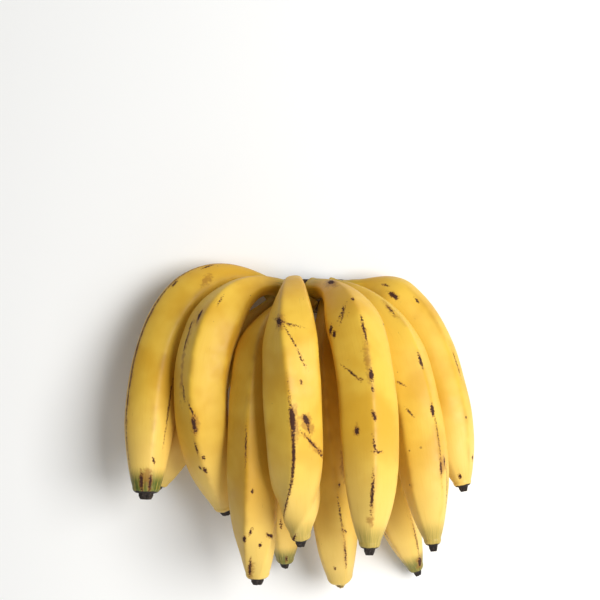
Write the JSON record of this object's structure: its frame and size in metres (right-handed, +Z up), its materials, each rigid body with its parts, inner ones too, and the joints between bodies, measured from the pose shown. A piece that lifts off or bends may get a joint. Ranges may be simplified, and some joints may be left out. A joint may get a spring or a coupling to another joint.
{
  "type": "bunch of bananas",
  "caption": "Hand of large ripe bananas lying on its back: curved, softly ridged fingers in two rows, grown together at a cut crown.",
  "frame": {"origin": "on the surface the hand lies on, under the middle of the hand's box", "axes": "+Z up; +Y along the stalk's axis, from the fingertips towards the crown; +X across the hand"},
  "size_m": [0.2502, 0.235, 0.1263],
  "materials": {
    "ripe_peel": "smooth waxy banana peel, satin, warm yellow with brown flecks",
    "deep_yellow_peel": "smooth waxy banana peel, satin, deeper yellow where the fingers shade each other",
    "crown_tissue": "matt grey-brown woody tissue with a dark dried cut edge"
  },
  "bodies": {
    "root": {"crown": "crown_tissue", "outer_finger_1": "ripe_peel", "outer_finger_2": "ripe_peel", "outer_finger_3": "ripe_peel", "outer_finger_4": "ripe_peel", "outer_finger_5": "ripe_peel", "outer_finger_6": "ripe_peel", "inner_finger_1": "deep_yellow_peel", "inner_finger_2": "deep_yellow_peel", "inner_finger_3": "deep_yellow_peel", "inner_finger_4": "deep_yellow_peel", "inner_finger_5": "deep_yellow_peel"}
  },
  "joints": []
}
